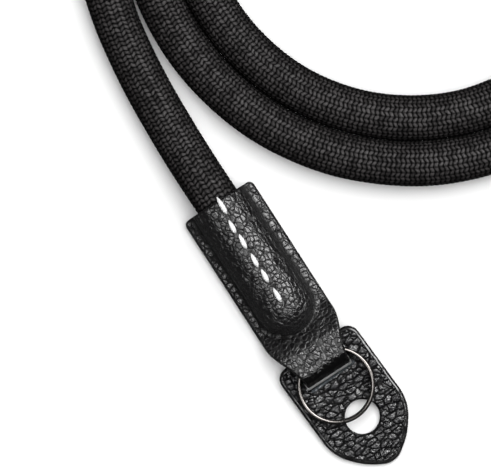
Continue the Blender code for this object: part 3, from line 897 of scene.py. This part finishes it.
def shield_plan():
    """Outline, slit and hole, as distance back from the tip and distance across."""
    half = SHIELD_WIDTH / 2
    mirror = np.array([1.0, -1.0])
    tip = arc_points((SHIELD_TIP_RADIUS, 0.0), SHIELD_TIP_RADIUS, *TIP_ARC)[:-1] * mirror
    nose = smooth_line([np.array([*point, 0.0]) for point in SHIELD_SIDE], SIDE_STEPS)[:, :2]
    back_middle = (SHIELD_LENGTH - SHIELD_BACK_CORNER, half - SHIELD_BACK_CORNER)
    back = arc_points(back_middle, SHIELD_BACK_CORNER, *BACK_ARC)
    upper = np.concatenate([tip, nose, back])
    lower = upper[:0:-1] * mirror
    hole = arc_points((SHIELD_HOLE_TO_TIP, 0.0), SHIELD_HOLE_RADIUS, *HOLE_ARC)[:-1]
    start, end, slit_half = SHIELD_SLIT
    corners = np.array([(start, -slit_half), (end, -slit_half), (end, slit_half), (start, slit_half)])
    return [np.concatenate([upper, lower]), from_tab_plan(corners), hole]


def from_tab_plan(places):
    """Tab plan places (along, across) as distance back from the shield's tip and across it."""
    slit_end = SHIELD_TIP - SHIELD_LENGTH_PAST_SLIT
    shifted = places - np.array([slit_end, SHIELD_SHIFT])
    along = shifted[:, 0] * math.cos(SHIELD_TURN) + shifted[:, 1] * math.sin(SHIELD_TURN)
    across = -shifted[:, 0] * math.sin(SHIELD_TURN) + shifted[:, 1] * math.cos(SHIELD_TURN)
    return np.stack([SHIELD_LENGTH_PAST_SLIT - along, across], axis=1)


def shield_plate(name):
    """The plate as it is cut, flat, with its tip at the origin."""
    curve = bpy.data.curves.new(name, "CURVE")
    curve.dimensions = "2D"
    curve.fill_mode = "BOTH"
    curve.extrude = SHIELD_THICKNESS / 2
    for outline in shield_plan():
        spline = curve.splines.new("POLY")
        spline.points.add(len(outline) - 1)
        for point, (back, across) in zip(spline.points, outline):
            point.co = (-back, across, 0.0, 1.0)
        spline.use_cyclic_u = True
    blank = add_object(name, curve)
    graph = bpy.context.evaluated_depsgraph_get()
    plate = bpy.data.meshes.new_from_object(blank.evaluated_get(graph))
    bpy.data.objects.remove(blank, do_unlink=True)
    return add_object(name, plate)


def wall_distances(flat, upright):
    """How far each place of the plate lies from the nearest cut wall, seen from above."""
    wall_indices = np.flatnonzero(upright < WALL_UPRIGHT)
    walls = KDTree(len(wall_indices))
    for number, index in enumerate(wall_indices):
        walls.insert((flat[index, 0], flat[index, 1], 0.0), number)
    walls.balance()
    return np.array([walls.find((x, y, 0.0))[2] for x, y in flat[:, :2]])


def shield_piece(name, hand):
    """The cut plate, laid leaning on the tab, finely meshed and with its edges pressed round."""
    piece = shield_plate(name)
    fine_mesh(piece, SHIELD_VOXEL, SHIELD_SMOOTHING)
    mesh = piece.data
    flat = mesh_places(mesh)
    normals = np.zeros(len(mesh.vertices) * 3)
    mesh.vertex_normals.foreach_get("vector", normals)
    upright = np.abs(normals.reshape(-1, 3)[:, 2])
    away = wall_distances(flat, upright)
    forward = flat[:, 0] + SHIELD_LENGTH_PAST_SLIT
    aside = np.abs(flat[:, 1])
    on_top = flat[:, 2] > SHIELD_UPPER
    slit_start, slit_end, slit_half = SHIELD_SLIT
    by_slit = (forward < OPENING_REACH) & (forward > -OPENING_REACH - (slit_end - slit_start))
    by_slit = by_slit & (aside < slit_half + SLIT_SIDE_REACH)
    from_hole = np.hypot(flat[:, 0] + SHIELD_HOLE_TO_TIP, flat[:, 1])
    by_opening = by_slit | (from_hole < SHIELD_HOLE_RADIUS + OPENING_REACH)
    paint_width = np.where(by_opening, OPENING_PAINT_WIDTH, SHIELD_PAINT_WIDTH)
    store_mask(mesh, "cut_edge", 1 - soft_step(away / paint_width, *PAINT_FADE))
    lip = 1 - soft_step(np.abs(forward), SLIT_LIP_WIDTH * SLIT_LIP_SOLID, SLIT_LIP_WIDTH)
    store_mask(mesh, "slit_lip", lip * (upright > LIP_UPRIGHT) * (aside < slit_half) * on_top)
    edge_fall = np.where(by_opening, OPENING_EDGE_FALL, SHIELD_EDGE_FALL)
    edge_fall = np.where(by_slit & (aside > slit_half - SLIT_END_SHARP), 0.0, edge_fall)
    edge_round = np.where(by_opening, OPENING_PAINT_WIDTH, SHIELD_EDGE_ROUND)
    fall = edge_fall * np.clip(1 - away / edge_round, 0.0, 1.0) ** 2
    level = flat[:, 2] + SHIELD_THICKNESS / 2 - fall * on_top
    ahead = forward * math.cos(SHIELD_TILT) + level * math.sin(SHIELD_TILT)
    height = (SHIELD_LENGTH_PAST_SLIT - forward) * math.sin(SHIELD_TILT) + level * math.cos(SHIELD_TILT)
    along = SHIELD_TIP - SHIELD_LENGTH_PAST_SLIT + ahead * math.cos(SHIELD_TURN)
    along = along - flat[:, 1] * math.sin(SHIELD_TURN)
    across = SHIELD_SHIFT + ahead * math.sin(SHIELD_TURN) + flat[:, 1] * math.cos(SHIELD_TURN)
    placed = out_of_end(np.stack([along, across, height], axis=1), hand)
    mesh.vertices.foreach_set("co", placed.reshape(-1))
    if hand < 0:
        mesh.flip_normals()
    mesh.update()
    return piece


shield_hide, shield_tree, shield_shader = new_material("black_coarse_hide")
shield_place = object_place(shield_tree)
shield_cells = place_group(shield_tree, pebbles, {"Place": shield_place, **SHIELD_GRAIN})
shield_edge = read_mask(shield_tree, "cut_edge")
# Painted shade: the grain's creases take the dark colour.
shield_colour = blend_colours(shield_tree, shield_cells["Crease"], SHIELD_LIGHT, SHIELD_CREASE_SHADE)
shield_colour = blend_colours(shield_tree, shield_edge, shield_colour, EDGE_PAINT)
# A pale bluish line is coloured along the slit's far edge.
shield_colour = blend_colours(shield_tree, read_mask(shield_tree, "slit_lip"), shield_colour, SLIT_LINE_PALE)
shield_tree.links.new(shield_colour, shield_shader.inputs["Base Color"])
shield_rough = math_step(shield_tree, "MULTIPLY_ADD", shield_cells["Tone"], *SHIELD_ROUGHNESS)
shield_tree.links.new(shield_rough, shield_shader.inputs["Roughness"])
set_values(shield_shader, {"Specular IOR Level": SHIELD_GLOSS})
shield_relief = hide_relief(
    shield_tree, shield_place, shield_cells, shield_edge, SHIELD_GRAIN_DEPTH, SHIELD_SWELL_SCALE,
)
shield_tree.links.new(shield_relief, shield_shader.inputs["Normal"])

for side, hand in STRAP_ENDS:
    shield = shield_piece(side + "_shield_leather", hand)
    shield.data.materials.append(shield_hide)
    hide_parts(side + "_shield")
    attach(shield, "root")


# Split rings
# A springy steel wire is wound nearly twice and plated in dark nickel. It hangs in the fold of
# the tab and leans on the shield; under the fold its lower turn steps up to the upper one, and
# both of its ends lie there too.
RING_DIAMETER = 0.0178
RING_WIRE = 0.00100
RING_GAP = 0.00012
RING_PAST_FOLD = 0.0027
RING_TURNS = 1.83
RING_START = math.radians(228)
RING_STEP_AT = 0.83
RING_STEP_SHARE = 0.17
RING_STEPS = 120
RING_SIDES = 20
RING_LEAN = SHIELD_TILT
RING_TO_SHIELD_TIP = 0.02165
RING_OVER_TABLE = 0.0019
WIRE_END_SHARE = 0.86
WIRE_V_STEP = 0.1
HANDLING_SCALE = 900.0
HANDLING_DEPTH = 0.00001
NICKEL_ROUGHNESS = (0.2, 0.12)
NICKEL = (0.23, 0.214, 0.204, 1.0)
NICKEL_WORN = (0.12, 0.113, 0.108, 1.0)


def ring_line(hand):
    """The middle of the ring's wire in the world, lower turn first."""
    origin, ahead, across = end_axes(hand)
    upward = np.array([0.0, 0.0, 1.0])
    forward = ahead * math.cos(RING_LEAN) - upward * math.sin(RING_LEAN)
    normal = ahead * math.sin(RING_LEAN) + upward * math.cos(RING_LEAN)
    base = RING_TO_SHIELD_TIP * math.sin(RING_LEAN) + RING_OVER_TABLE / math.cos(RING_LEAN)
    middle = origin + ahead * (TAB_LENGTH + RING_PAST_FOLD) + upward * base
    radius = RING_DIAMETER / 2 - RING_WIRE / 2
    line = []
    for index in range(int(round(RING_STEPS * RING_TURNS)) + 1):
        turn = index / RING_STEPS
        angle = RING_START + 2 * math.pi * turn
        lift = RING_WIRE / 2 + (RING_WIRE + RING_GAP) * eased((turn - RING_STEP_AT) / RING_STEP_SHARE)
        out = forward * radius * math.cos(angle) + across * radius * math.sin(angle)
        line.append(middle + out + normal * lift)
    return np.array(line)


nickel, nickel_tree, nickel_shader = new_material("dark_nickel_plate")
handling = add_noise(nickel_tree, object_place(nickel_tree), HANDLING_SCALE, 4.0)["Fac"]
nickel_colour = blend_colours(nickel_tree, handling, NICKEL, NICKEL_WORN)
nickel_tree.links.new(nickel_colour, nickel_shader.inputs["Base Color"])
nickel_rough = math_step(nickel_tree, "MULTIPLY_ADD", handling, *NICKEL_ROUGHNESS)
nickel_tree.links.new(nickel_rough, nickel_shader.inputs["Roughness"])
nickel_tree.links.new(add_bump(nickel_tree, handling, HANDLING_DEPTH), nickel_shader.inputs["Normal"])
set_values(nickel_shader, {"Metallic": 1.0})

for side, hand in STRAP_ENDS:
    wire_line = ring_line(hand)
    wire_radii = np.full((len(wire_line), RING_SIDES), RING_WIRE / 2)
    wire_radii[[0, -1]] *= WIRE_END_SHARE
    wire_mesh = tube_mesh(side + "_ring_wire", wire_line, wire_radii, 1.0, WIRE_V_STEP)
    ring = add_object(side + "_ring_wire", wire_mesh)
    ring.data.materials.append(nickel)
    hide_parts(side + "_ring")
    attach(ring, "root")


bpy.context.view_layer.update()
